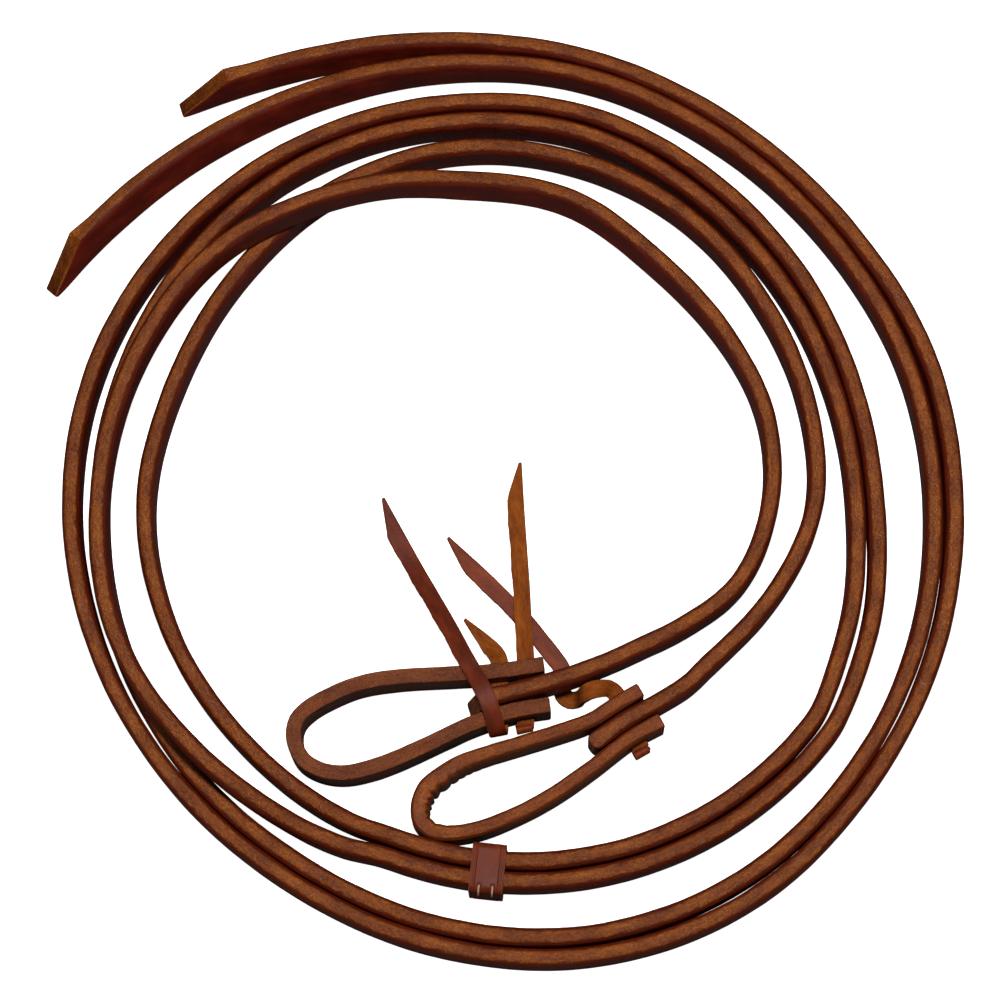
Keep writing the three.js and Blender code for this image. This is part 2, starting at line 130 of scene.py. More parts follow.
RIGHT_LACE = [
    [-23.1, -19.4, 1.2, 42], [-8.7, -32.8, 1.2, 42], [-2.3, -39.2, 1.2, 41], [7, -48.8, 1.2, 40],
    [13.2, -56.6, 1.2, 39], [18, -62.8, 1.2, 37], [20.9, -67.4, 1.2, 28], [21.3, -71, 1.2, 14],
    [20.9, -73.8, 1.2, 14], [21.2, -76.5, 1.2, 38], [23.4, -78.6, 1.3, 72], [25.8, -79, 2, 88],
    [27.3, -78.8, 4.5, 92], [28.3, -78.4, 8.5, 92], [30, -77.8, 12, 92], [33, -77, 13, 84],
    [36, -76.4, 11.4, 66], [38.8, -76.4, 9, 44], [40.9, -78.4, 8, 26], [45.2, -88, 8, 23], [49.5, -98.1, 8, 23],
]
POINT_LENGTH = 14
POINT_WIDTH = 1.2
# The right lace turns over under the left rein, this far from its point
RIGHT_LACE_FLIP = 70

# Slits for the laces: [x, y, direction of the lace in degrees from +X]
LEFT_FRONT_SLIT = [-1.8, -78.8, 90]
LEFT_BACK_SLIT = [7.6, -76.3, 90]
RIGHT_SLIT = [45.2, -88, 113]

BUTTON_RADIUS = 2.3
LEFT_BUTTON = (7.5, -90.4, 13)
RIGHT_BUTTON = (49.9, -99.1, 30)

KEEPER_LENGTH = 12.2
KEEPER_WALL = 1.5
KEEPER_CLEARANCE = 0.6
KEEPER_FLOOR_GAP = 0.25
KEEPER_ANGLE = 264.3
STITCH_RADIUS = 0.4
STITCH_SPACING = 4.9
STITCH_INSET = 2.5
STITCH_DROP = 4.6

FLOOR_HALF = 2500
FLOOR_LEVEL = -0.1


# ---------------------------------------------------------------- camera

def make_camera():
    data = bpy.data.cameras.new("camera")
    data.lens = 126
    data.sensor_width = 36
    data.shift_x = -0.05
    camera = bpy.data.objects.new("camera", data)
    bpy.context.scene.collection.objects.link(camera)
    camera.location = Vector((16.54 + ORIGIN_OFFSET, -326.3, 1260.2)) * MM
    camera.rotation_euler = (math.radians(14.4), 0, 0)
    bpy.context.scene.camera = camera


# ---------------------------------------------------------------- routes

def smoothstep(value, low, high):
    t = np.clip((np.asarray(value, float) - low) / (high - low), 0, 1)
    return t * t * (3 - 2 * t)


def smooth_value(knots, at):
    if at <= knots[0][0]:
        return knots[0][1]
    for (start, low), (end, high) in zip(knots, knots[1:]):
        if at <= end:
            return low + (high - low) * float(smoothstep(at, start, end))
    return knots[-1][1]


def radius_at(radii, angle):
    place = (angle - FIRST_ANGLE) / ANGLE_STEP
    i = min(math.floor(place), len(radii) - 2)
    t = place - i
    start_slope = (radii[i + 1] - radii[max(i - 1, 0)]) / 2
    end_slope = (radii[min(i + 2, len(radii) - 1)] - radii[i]) / 2
    rise = radii[i + 1] - radii[i]
    bend = 3 * rise - 2 * start_slope - end_slope
    return radii[i] + start_slope * t + bend * t * t + (start_slope + end_slope - 2 * rise) * t ** 3


def arc_radius_at(arc_radius, angle):
    """Distance from the coil's centre to the keeper's arc, in the direction of the angle."""
    dx = KEEPER_ARC["x"] - COIL_CENTRE[0]
    dy = KEEPER_ARC["y"] - COIL_CENTRE[1]
    along = dx * math.cos(math.radians(angle)) + dy * math.sin(math.radians(angle))
    return along + math.sqrt(arc_radius ** 2 - dx ** 2 - dy ** 2 + along ** 2)


def coil_point(radii, arc_radius, angle):
    start, end, fade = KEEPER_ARC["from"], KEEPER_ARC["to"], KEEPER_ARC["fade"]
    on_arc = float(smoothstep(angle, start - fade, start) - smoothstep(angle, end, end + fade))
    radius = radius_at(radii, angle) * (1 - on_arc) + arc_radius_at(arc_radius, angle) * on_arc
    turn = math.radians(angle)
    return COIL_CENTRE[0] + radius * math.cos(turn), COIL_CENTRE[1] + radius * math.sin(turn)


def rein_route(lead_in, radii, arc_radius, coil_end, lift, lean):
    """Points of a rein's upper edge, the lead-in and then the turns, as [x, y, lift, lean]."""
    route = [[x, y, lift[0][1], 0] for x, y in lead_in]
    count = math.ceil((coil_end - COIL_START) / 5)
    for i in range(count + 1):
        angle = COIL_START + (coil_end - COIL_START) * i / count
        x, y = coil_point(radii, arc_radius, angle)
        route.append([x, y, smooth_value(lift, angle), smooth_value(lean, angle)])
    return route


def sample_route(points, values, step, per_segment=40):
    """Evenly spaced points and unit tangents on the centripetal curve through the points."""
    points = np.asarray(points, float)
    padded = np.vstack([2 * points[0] - points[1], points, 2 * points[-1] - points[-2]])
    gaps = np.sqrt(np.linalg.norm(np.diff(padded, axis=0), axis=1))
    t = np.linspace(0, 1, per_segment, endpoint=False)[:, None]
    places, dense, slopes = [], [], []
    for i in range(len(points) - 1):
        x0, x1, x2, x3 = padded[i:i + 4]
        d0, d1, d2 = gaps[i:i + 3]
        m1 = ((x1 - x0) / d0 - (x2 - x0) / (d0 + d1) + (x2 - x1) / d1) * d1
        m2 = ((x2 - x1) / d1 - (x3 - x1) / (d1 + d2) + (x3 - x2) / d2) * d1
        c2 = -3 * x1 + 3 * x2 - 2 * m1 - m2
        c3 = 2 * x1 - 2 * x2 + m1 + m2
        last = i == len(points) - 2
        u = np.append(t, [[1.0]], axis=0) if last else t
        dense.append(x1 + m1 * u + c2 * u ** 2 + c3 * u ** 3)
        slopes.append(m1 + 2 * c2 * u + 3 * c3 * u ** 2)
        places.append(i + u[:, 0])
    places, dense, slopes = np.concatenate(places), np.vstack(dense), np.vstack(slopes)
    along = np.append(0, np.cumsum(np.linalg.norm(np.diff(dense, axis=0), axis=1)))
    at = np.linspace(0, along[-1], round(along[-1] / step) + 1)
    point = np.column_stack([np.interp(at, along, column) for column in dense.T])
    tangent = np.column_stack([np.interp(at, along, column) for column in slopes.T])
    tangent /= np.linalg.norm(tangent, axis=1)[:, None]
    place = np.interp(at, along, places)
    values = np.asarray(values, float)
    value = np.column_stack([np.interp(place, np.arange(len(values)), column) for column in values.T])
    return point, tangent, value, at


# ---------------------------------------------------------------- meshes

def section(thickness, width, radius, arc=5):
    """A rounded rectangle as [across the thickness, along the width, how much it faces along the width]."""
    half_t, half_w = thickness / 2, width / 2
    points = []
    for corner in range(4):
        sign_u = 1 if corner in (0, 3) else -1
        sign_w = 1 if corner in (0, 1) else -1
        for k in range(arc + 1):
            turn = math.radians(90 * (corner + k / arc))
            u = sign_u * (half_t - radius) + radius * math.cos(turn)
            w = sign_w * (half_w - radius) + radius * math.sin(turn)
            points.append([u, w, abs(math.sin(turn))])
        flat = 2 * (half_t - radius) if corner in (0, 2) else 2 * (half_w - radius)
        margin = min(0.5, flat / 4)
        extra = [margin, flat / 2, flat - margin] if corner in (0, 2) else [
            margin, flat / 4, flat / 2, 3 * flat / 4, flat - margin]
        u, w, _ = points[-1]
        for distance in extra:
            if corner in (0, 2):
                points.append([u - sign_u * distance, w, 1])
            else:
                points.append([u, w - sign_w * distance, 0])
    return np.array(points)


def ripple(at, seed, lengths=(61, 23, 9.7)):
    """A smooth uneven value between -1 and 1 along a strap."""
    total = 0
    for k, wave in enumerate(lengths):
        total = total + np.sin(2 * math.pi * np.asarray(at) / wave + seed * (k + 1.7) * 2.1) / (k + 1)
    return total / sum(1 / (k + 1) for k in range(len(lengths)))


def in_metres(points):
    return (np.asarray(points, float) + [ORIGIN_OFFSET, 0, 0]) * MM


def mesh_object(name, points, faces, strap=None, edge=None):
    data = bpy.data.meshes.new(name)
    data.from_pydata(in_metres(points).tolist(), [], faces)
    data.polygons.foreach_set("use_smooth", [True] * len(data.polygons))
    if strap is not None:
        layer = data.attributes.new("strap", "FLOAT_VECTOR", "POINT")
        layer.data.foreach_set("vector", (np.asarray(strap) * MM).astype(np.float32).ravel())
        layer = data.attributes.new("edge", "FLOAT", "POINT")
        layer.data.foreach_set("value", np.asarray(edge, np.float32))
    data.update()
    piece = bpy.data.objects.new(name, data)
    bpy.context.scene.collection.objects.link(piece)
    return piece


def tube_faces(rings, sides):
    """Faces between equal rings, and one closing each end."""
    faces = []
    for ring in range(rings - 1):
        for i in range(sides):
            a, b = ring * sides + i, ring * sides + (i + 1) % sides
            faces.append((a, a + sides, b + sides, b))
    last = (rings - 1) * sides
    faces.append(tuple(range(sides)))
    faces.append(tuple(last + i for i in reversed(range(sides))))
    return faces


def add_end_samples(samples, insets):
    """Adds samples close to both ends, at the distances of the end profile, so that ends can be rounded."""
    point, tangent, value, at = samples
    total = at[-1]
    wanted = sorted({round(x, 4) for x in (*insets, *(total - x for x in insets))})
    inner = at[(at > max(insets) + 0.6) & (at < total - max(insets) - 0.6)]
    new_at = np.array(sorted([*wanted, *inner]))
    spread = [np.column_stack([np.interp(new_at, at, c) for c in table.T]) for table in (point, tangent, value)]
    spread[1] /= np.linalg.norm(spread[1], axis=1)[:, None]
    return (*spread, new_at)


END_PROFILE = ((0, 0.7), (0.12, 0.36), (0.34, 0.12), (0.7, 0))


def end_shrink(distance, profile=END_PROFILE):
    return np.interp(distance, [d for d, _ in profile], [s for _, s in profile])


def strap_on_edge(name, route, thickness, corner, seed, cut_end=False, tip=0.0, slant=0.0, wrinkles=None, step=2.0):
    """A strap standing on its edge. The route is its upper edge, as [x, y, lift, lean]."""
    route = np.asarray(route, float)
    samples = sample_route(route[:, :2], route[:, 2:], step)
    insets = [d for d, _ in END_PROFILE] + ([0.3, 1.1, 1.8, 2.6] if tip else [])
    point, tangent, value, at = add_end_samples(samples, insets)
    worn = section(thickness, STRAP_WIDTH, corner)
    fresh = section(thickness, STRAP_WIDTH, min(corner, 0.8))
    total = at[-1]
    rings, straps, edges, path = [], [], [], []
    for (x, y), (tx, ty), (lift, lean), s in zip(point, tangent, value, at):
        outward = np.array([ty, -tx, 0.0])
        tilt = math.radians(lean)
        up = np.array([0, 0, math.cos(tilt)]) + outward * math.sin(tilt)
        across = outward * math.cos(tilt) + np.array([0, 0, -math.sin(tilt)])
        centre = np.array([x, y, 0.0]) - outward * math.sin(tilt) * STRAP_WIDTH / 2
        centre[2] = lift + math.cos(tilt) * STRAP_WIDTH / 2 + math.sin(tilt) * thickness / 2
        to_end = min(s, total - s)
        cut = 1 - float(smoothstep(to_end, 1, 12))
        outline = worn * (1 - cut) + fresh * cut
        u, w, facing = outline.T.copy()
        shrink = float(end_shrink(to_end))
        upper = smoothstep(w, 0, STRAP_WIDTH / 2)
        w = w + upper * 0.13 * (ripple(s, seed) - 0.4)
        u = u * (1 + 0.016 * ripple(s, seed + 3, (47, 19, 7.3)))
        u = u + 0.1 * upper * ripple(s, seed + 7, (33, 14, 5.9))
        if wrinkles:
            press, sink = wrinkles(s, u, w)
            u, w = u + press, w + sink
        w = w * (1 - shrink / (STRAP_WIDTH / 2))
        narrow = 1 - shrink / (thickness / 2)
        if tip and s < tip:
            narrow = min(narrow, 0.25 + 0.75 * math.sqrt(1 - (1 - s / tip) ** 2))
        u = u * narrow
        slope = 0.0
        if cut_end and s > total - CUT_FADE:
            slope = -CUT_SLOPE * float(smoothstep(s, total - CUT_FADE, total))
        shear = np.minimum(slope * (outline[:, 1] - STRAP_WIDTH / 2), TIP_REACH)
        if slant and s < SLANT_FADE:
            fade = 1 - float(smoothstep(s, 0, SLANT_FADE))
            shear = shear + slant * fade * (outline[:, 1] / STRAP_WIDTH + 0.5)
        along = np.array([tx, ty, 0.0])
        ring = centre + np.outer(u, across) + np.outer(w, up) + np.outer(shear, along)
        rings.append(ring)
        straps.append(np.column_stack([s + shear, outline[:, 0], outline[:, 1]]))
        edges.append(np.maximum(facing, min(1.0, shrink / 0.3)))
        path.append(centre + along * (-slope) * STRAP_WIDTH / 2)
    points = np.vstack(rings)
    points[:, 2] = np.maximum(points[:, 2], 0.02)
    piece = mesh_object(name, points, tube_faces(len(rings), len(outline)), np.vstack(straps), np.concatenate(edges))
    return piece, np.array(path)


def lace_along(name, route, seed, grain_up, pointed_end=False):
    """A flat lace, cut to a point on one side. grain_up(s) is 1 where its smooth side is up, and -1 elsewhere."""
    route = np.asarray(route, float)
    samples = sample_route(route[:, :3], route[:, 3:], 1.1)
    point, tangent, value, at = add_end_samples(samples, [0, 0.1, 0.25])
    total = at[-1]
    rings, straps, edges = [], [], []
    for centre, along, (turn,), s in zip(point, tangent, value, at):
        side = np.array([math.cos(math.radians(turn)), math.sin(math.radians(turn)), 0.0])
        normal = np.cross(along, side)
        normal /= np.linalg.norm(normal)
        side = np.cross(normal, along)
        from_point = min(s, total - s if pointed_end else total)
        narrowing = min(1.0, from_point / POINT_LENGTH)
        width = POINT_WIDTH + (LACE_WIDTH - POINT_WIDTH) * narrowing
        width += 0.22 * narrowing * (ripple(s, seed, (17, 6.1, 2.9)) - 0.6)
        end = 1 - 0.55 * (1 - min(1.0, min(s, total - s) / 0.25))
        outline = section(LACE_THICKNESS * end, width * (0.6 + 0.4 * end), 0.42 * end, 3)
        u, w, facing = outline.T
        cup = 0.16 * (2 * w / width) ** 2 * ripple(s, seed + 5, (41, 13, 8))
        middle = centre + side * (LACE_WIDTH - width) / 2
        rings.append(middle + np.outer(u * 0.97 + cup, normal) + np.outer(w, side))
        offset = (LACE_WIDTH - width) / 2
        straps.append(np.column_stack([np.full(len(u), s), u * grain_up(s), w + offset]))
        edges.append(np.maximum(facing, 1 - min(1.0, min(s, total - s) / 0.25)))
    points = np.vstack(rings)
    points[:, 2] = np.maximum(points[:, 2], 0.02)
    faces = tube_faces(len(rings), len(outline))
    return mesh_object(name, points, faces, np.vstack(straps), np.concatenate(edges)), point


def rolled_button(name, place, turns=2.1, seed=1.0):
    """The end of a lace, rolled up. Its outline is a spiral band."""
    x, y, turn = place
    thickness, pitch = 0.78, 0.86
    count = 44
    angles = np.linspace(0, 2 * math.pi * turns, count)
    start = BUTTON_RADIUS - thickness / 2 - pitch * turns
    radius = start + pitch * angles / (2 * math.pi)
    outer = np.column_stack([(radius + thickness / 2) * np.cos(angles), (radius + thickness / 2) * np.sin(angles)])
    inner = np.column_stack([(radius - thickness / 2) * np.cos(angles), (radius - thickness / 2) * np.sin(angles)])
    outline = np.vstack([outer, inner[::-1]])
    length = np.concatenate([radius * angles, (radius * angles)[::-1]])
    facing_u = np.concatenate([np.ones(count), -np.ones(count)])
    half = LACE_WIDTH / 2
    lateral = [-half, -half + 0.2, *np.linspace(-2.4, 2.4, 7), half - 0.2, half]
    rings, straps, edges = [], [], []
    direction = math.radians(turn)
    axis = np.array([math.cos(direction), math.sin(direction), 0])
    aside = np.array([-math.sin(direction), math.cos(direction), 0])
    for k, w in enumerate(lateral):
        shrink = 0.9 if k in (0, len(lateral) - 1) else 1.0
        flat = outline * shrink
        slide = w + 0.35 * np.sin(np.concatenate([angles, angles[::-1]]) * 0.35 + seed)
        ring = np.outer(flat[:, 0], aside) + np.outer(flat[:, 1], [0, 0, 1.0]) + np.outer(slide * 0.92, axis)
        rings.append(ring + np.array([x, y, TIE_HEIGHT]))
        straps.append(np.column_stack([length, facing_u * 0.9, np.full(len(length), w)]))
        edges.append(np.full(len(length), 1.0 if shrink < 1 else 0.0))
    sides = len(outline)
    faces = []
    for ring in range(len(lateral) - 1):
        for i in range(sides):
            a, b = ring * sides + i, ring * sides + (i + 1) % sides
            faces.append((a, b, b + sides, a + sides))
    last = (len(lateral) - 1) * sides
    for i in range(count - 1):
        j = sides - 1 - i
        faces.append((i, j, j - 1, i + 1))
        faces.append((last + i, last + i + 1, last + j - 1, last + j))
    return mesh_object(name, np.vstack(rings), faces, np.vstack(straps), np.concatenate(edges))


def cut_slits(piece, slits):
    """Cuts the slits that the laces pass through."""
    for index, (x, y, direction) in enumerate(slits):
        half = np.array([SLIT_LENGTH, SLIT_WIDTH, SLIT_HEIGHT]) / 2
        corners = np.array([[a, b, c] for a in (-1, 1) for b in (-1, 1) for c in (-1, 1)]) * half
        turn = math.radians(direction)
        rotation = np.array([[math.cos(turn), -math.sin(turn), 0], [math.sin(turn), math.cos(turn), 0], [0, 0, 1]])
        points = corners @ rotation.T + np.array([x, y, TIE_HEIGHT])
        faces = [(0, 1, 3, 2), (4, 6, 7, 5), (0, 4, 5, 1), (2, 3, 7, 6), (0, 2, 6, 4), (1, 5, 7, 3)]
        cutter = mesh_object(f"cutter_{index}", points, faces, corners, np.ones(8))
        cutter.data.polygons.foreach_set("use_smooth", [False] * 6)
        apply_boolean(piece, cutter)


def apply_boolean(piece, cutter):
    modifier = piece.modifiers.new("cut", "BOOLEAN")
    modifier.operation = "DIFFERENCE"
    modifier.solver = "MANIFOLD"
    modifier.object = cutter
    bpy.context.view_layer.update()
    graph = bpy.context.evaluated_depsgraph_get()
    data = bpy.data.meshes.new_from_object(piece.evaluated_get(graph))
    piece.modifiers.clear()
    piece.data = data
    bpy.data.objects.remove(cutter)


# ---------------------------------------------------------------- materials

class Nodes:
    """Short calls for making a procedural material."""

    def __init__(self, name):
        self.material = bpy.data.materials.new(name)
        self.material.use_nodes = True
        self.tree = self.material.node_tree
        self.shader = self.tree.nodes["Principled BSDF"]

    def add(self, kind, inputs=(), **settings):
        node = self.tree.nodes.new(kind)
        for key, value in settings.items():
            setattr(node, key, value)
        for key, value in dict(inputs).items():
            self.set(node.inputs[key], value)
        return node

    def set(self, socket, value):
        if isinstance(value, bpy.types.NodeSocket):
            self.tree.links.new(value, socket)
        elif isinstance(value, tuple) and len(value) == 3 and socket.type == "RGBA":
            socket.default_value = (*value, 1)
        else:
            socket.default_value = value

    def attribute(self, name, output):
        return self.add("ShaderNodeAttribute", attribute_name=name).outputs[output]

    def stretched(self, vector, scale):
        node = self.add("ShaderNodeVectorMath", {0: vector, 1: scale}, operation="MULTIPLY")
        return node.outputs[0]

    def noise(self, vector, scale, detail=2.0, roughness=0.5):
        node = self.add("ShaderNodeTexNoise", {
            "Vector": vector, "Scale": scale, "Detail": detail, "Roughness": roughness,
        })
        return node.outputs["Fac"]

    def ramp(self, value, stops):
        node = self.add("ShaderNodeValToRGB", {"Fac": value})
        elements = node.color_ramp.elements
        while len(elements) < len(stops):
            elements.new(0.5)
        for element, (position, colour) in zip(elements, stops):
            element.position = position
            element.color = (*colour, 1)
        return node.outputs["Color"]

    def between(self, value, low, high, to_low=0.0, to_high=1.0, smooth=True):
        node = self.add("ShaderNodeMapRange", {
            "Value": value, "From Min": low, "From Max": high, "To Min": to_low, "To Max": to_high,
        }, interpolation_type="SMOOTHSTEP" if smooth else "LINEAR")
        return node.outputs["Result"]

    def maths(self, operation, a, b=0.0):
        return self.add("ShaderNodeMath", {0: a, 1: b}, operation=operation).outputs[0]

    def mix(self, factor, a, b, blend="MIX"):
        node = self.add("ShaderNodeMix", data_type="RGBA", blend_type=blend)
        self.set(node.inputs[0], factor)
        self.set(node.inputs[6], a)
        self.set(node.inputs[7], b)
        return node.outputs[2]

    def bump(self, height, distance, strength):
        inputs = {"Height": height, "Distance": distance, "Strength": strength}
        return self.add("ShaderNodeBump", inputs).outputs["Normal"]


def strap_leather(name, edge_colours, face_colours, painted_corner_light_and_shade, edge_rough=(0.24, 0.6), sharp=False):
    """Harness leather: smooth dark faces, cut edges that show the fibres, and corners painted in a given colour,
    darker for painted shade and lighter for a painted highlight line.
    """
    n = Nodes(name)
    strap = n.attribute("strap", "Vector")
    edge = n.attribute("edge", "Fac")
    patches = n.noise(n.stretched(strap, (75, 210, 160)), 1, 4, 0.65)
    speckle = n.noise(strap, 1500, 3, 0.65)
    fibres = n.noise(n.stretched(strap, (620, 1000, 1000)), 1, 4, 0.7)
    edge_tone = n.maths("ADD", n.maths("MULTIPLY", patches, 0.55), n.maths("MULTIPLY", fibres, 0.45))
    edge_colour = n.ramp(edge_tone, edge_colours)
    edge_colour = n.mix(n.between(speckle, 0.32, 0.6, 0.5, 0.0), edge_colour, (0.03, 0.006, 0.001))
    face_tone = n.noise(n.stretched(strap, (60, 60, 140)), 1, 4, 0.6)
    face_colour = n.ramp(face_tone, face_colours)
    uneven = n.maths("MULTIPLY", n.maths("SUBTRACT", n.noise(strap, 330, 3, 0.6), 0.5), 0.5)
    cut = n.maths("ADD", edge, uneven)
    low, high = (0.3, 0.62) if sharp else (0.62, 0.98)
    on_edge = n.between(cut, low, high)
    # The corner band is painted light: painted shade along the rounded corners on the reins and the right loop, and
    # a painted highlight line on the left loop.
    painted_corner_band = n.maths("MULTIPLY", n.between(cut, low - 0.35, low), n.between(cut, high + 0.02, low + 0.05))
    colour = n.mix(on_edge, face_colour, edge_colour)
    colour = n.mix(n.maths("MULTIPLY", painted_corner_band, 0.75), colour, painted_corner_light_and_shade)
    rough = n.between(n.noise(n.stretched(strap, (420, 900, 900)), 1, 3, 0.7), 0.36, 0.64, *edge_rough)
    face_rough = n.between(face_tone, 0.3, 0.7, 0.38, 0.55)
    roughness = n.add("ShaderNodeMix", data_type="FLOAT")
    n.set(roughness.inputs[0], on_edge)
    n.set(roughness.inputs[2], face_rough)
    n.set(roughness.inputs[3], rough)
    grain = n.add("ShaderNodeTexVoronoi", {"Vector": n.stretched(strap, (800, 900, 900)), "Scale": 1.0})
    height = n.maths("ADD", n.maths("MULTIPLY", fibres, n.between(on_edge, 0, 1, 0.25, 1.2)),
                     n.maths("MULTIPLY", grain.outputs["Distance"], 0.22))
    height = n.maths("ADD", height, n.maths("MULTIPLY", speckle, 0.5))
    n.set(n.shader.inputs["Base Color"], colour)
    n.set(n.shader.inputs["Roughness"], roughness.outputs[0])
    n.set(n.shader.inputs["Normal"], n.bump(height, 0.0005, 0.85))
    n.shader.inputs["Specular IOR Level"].default_value = 0.2
    return n.material


def lace_leather(name, grain_colours, flesh_colours):
    """Lace leather: one side smooth grain, the other side raw flesh."""
    n = Nodes(name)
    strap = n.attribute("strap", "Vector")
    edge = n.attribute("edge", "Fac")
    across = n.add("ShaderNodeSeparateXYZ", {0: strap}).outputs["Y"]
    patches = n.noise(n.stretched(strap, (90, 90, 260)), 1, 4, 0.6)
    fibres = n.noise(n.stretched(strap, (420, 1500, 1700)), 1, 4, 0.66)
    flesh_tone = n.maths("ADD", n.maths("MULTIPLY", patches, 0.5), n.maths("MULTIPLY", fibres, 0.5))
    flesh = n.ramp(flesh_tone, flesh_colours)
    grain = n.ramp(patches, grain_colours)
    side = n.between(across, -0.0003, 0.0003, 0, 1)
    raw = n.maths("MAXIMUM", n.maths("SUBTRACT", 1.0, side), n.between(edge, 0.45, 0.9))
    colour = n.mix(raw, grain, flesh)
    roughness = n.between(raw, 0, 1, 0.5, 0.8, smooth=False)
    pores = n.add("ShaderNodeTexVoronoi", {"Vector": n.stretched(strap, (1100, 1100, 1100)), "Scale": 1.0})
    height = n.maths("ADD", n.maths("MULTIPLY", fibres, n.between(raw, 0, 1, 0.3, 1.0)),
                     n.maths("MULTIPLY", pores.outputs["Distance"], 0.25))
    n.set(n.shader.inputs["Base Color"], colour)
    n.set(n.shader.inputs["Roughness"], roughness)
    n.set(n.shader.inputs["Normal"], n.bump(height, 0.0003, 0.7))
    n.shader.inputs["Specular IOR Level"].default_value = 0.12
    return n.material


def keeper_leather(name):
    n = Nodes(name)
    strap = n.attribute("strap", "Vector")
    edge = n.attribute("edge", "Fac")
    patches = n.noise(n.stretched(strap, (110, 110, 160)), 1, 4, 0.6)
    grain = n.ramp(patches, [
        (0.3, (0.072, 0.008, 0.001)), (0.52, (0.110, 0.014, 0.002)), (0.74, (0.155, 0.023, 0.003))])
    fibres = n.noise(n.stretched(strap, (1400, 1400, 1400)), 1, 3, 0.62)
    raw = n.ramp(fibres, [(0.3, (0.10, 0.030, 0.010)), (0.7, (0.30, 0.11, 0.04))])
    uneven = n.maths("MULTIPLY", n.maths("SUBTRACT", n.noise(strap, 500, 2, 0.5), 0.5), 0.4)
    on_edge = n.between(n.maths("ADD", edge, uneven), 0.5, 0.9)
    pores = n.add("ShaderNodeTexVoronoi", {"Vector": n.stretched(strap, (900, 900, 900)), "Scale": 1.0})
    height = n.maths("ADD", n.maths("MULTIPLY", pores.outputs["Distance"], 0.35), n.maths("MULTIPLY", fibres, 0.4))
    n.set(n.shader.inputs["Base Color"], n.mix(on_edge, grain, raw))
    n.set(n.shader.inputs["Roughness"], n.between(patches, 0.3, 0.7, 0.46, 0.6))
    n.set(n.shader.inputs["Normal"], n.bump(height, 0.0003, 0.55))
    n.shader.inputs["Specular IOR Level"].default_value = 0.16
    return n.material


def thread_material(name):
    n = Nodes(name)
    strap = n.attribute("strap", "Vector")
    strands = n.noise(n.stretched(strap, (900, 3800, 3800)), 1, 2, 0.5)
    colour = n.ramp(strands, [(0.3, (0.24, 0.11, 0.07)), (0.7, (0.62, 0.40, 0.29))])
    n.set(n.shader.inputs["Base Color"], colour)
    n.set(n.shader.inputs["Roughness"], n.between(strands, 0.3, 0.7, 0.5, 0.75))
    n.set(n.shader.inputs["Normal"], n.bump(strands, 0.0001, 0.7))
    n.shader.inputs["Specular IOR Level"].default_value = 0.3
    return n.material


# ---------------------------------------------------------------- keeper

KEEPER_HALF_INSIDE = (LEFT_ARC_RADIUS - RIGHT_ARC_RADIUS + REIN_THICKNESS) / 2 + KEEPER_CLEARANCE
KEEPER_TOP = KEEPER_LIFT + STRAP_WIDTH + KEEPER_CLEARANCE + KEEPER_WALL


def place_on_arc(points):
    """From the keeper's own place at the origin to its place on the arc."""
    turn = math.radians(KEEPER_ANGLE)
    x = points[:, 0] + (LEFT_ARC_RADIUS + RIGHT_ARC_RADIUS) / 2
    y = points[:, 1]
    return np.column_stack([
        KEEPER_ARC["x"] + x * math.cos(turn) - y * math.sin(turn),
        KEEPER_ARC["y"] + x * math.sin(turn) + y * math.cos(turn),
        points[:, 2],
    ])


def rounded_loop(half_width, bottom, top, rounding, arc=7, flat=28):
    """Points and outward normals round a rounded rectangle, with even points on its flats."""
    corners = [(1, 1), (-1, 1), (-1, -1), (1, -1)]
    centres = [(sx * (half_width - rounding), top - rounding if sz > 0 else bottom + rounding) for sx, sz in corners]
    points = []
    for index, (cx, cz) in enumerate(centres):
        for k in range(arc + 1):
            turn = math.radians(90 * (index + k / arc))
            points.append([cx + rounding * math.cos(turn), cz + rounding * math.sin(turn),
                           math.cos(turn), math.sin(turn)])
        x, z, nx, nz = points[-1]
        end_x, end_z = centres[(index + 1) % 4][0] + rounding * nx, centres[(index + 1) % 4][1] + rounding * nz
        for k in range(1, flat):
            points.append([x + (end_x - x) * k / flat, z + (end_z - z) * k / flat, nx, nz])
    return np.array(points)


KEEPER_HALF_OUTSIDE = KEEPER_HALF_INSIDE + KEEPER_WALL


def stitch_pits(x, y, z):
    """How deep the leather is pressed in round the stitch holes."""
    depth = 0
    for along in (-STITCH_SPACING / 2, STITCH_SPACING / 2):
        for hole in ((KEEPER_HALF_OUTSIDE - STITCH_INSET, along, KEEPER_TOP),
                     (KEEPER_HALF_OUTSIDE, along, KEEPER_TOP - STITCH_DROP)):
            far = (x - hole[0]) ** 2 + (y - hole[1]) ** 2 + (z - hole[2]) ** 2
            depth = depth + 0.6 * np.exp(-far / 0.62 ** 2)
        groove = np.exp(-((y - along) / 0.5) ** 2) * (x > KEEPER_HALF_OUTSIDE - STITCH_INSET)
        depth = depth + 0.16 * groove * (z > KEEPER_TOP - STITCH_DROP)
    return depth


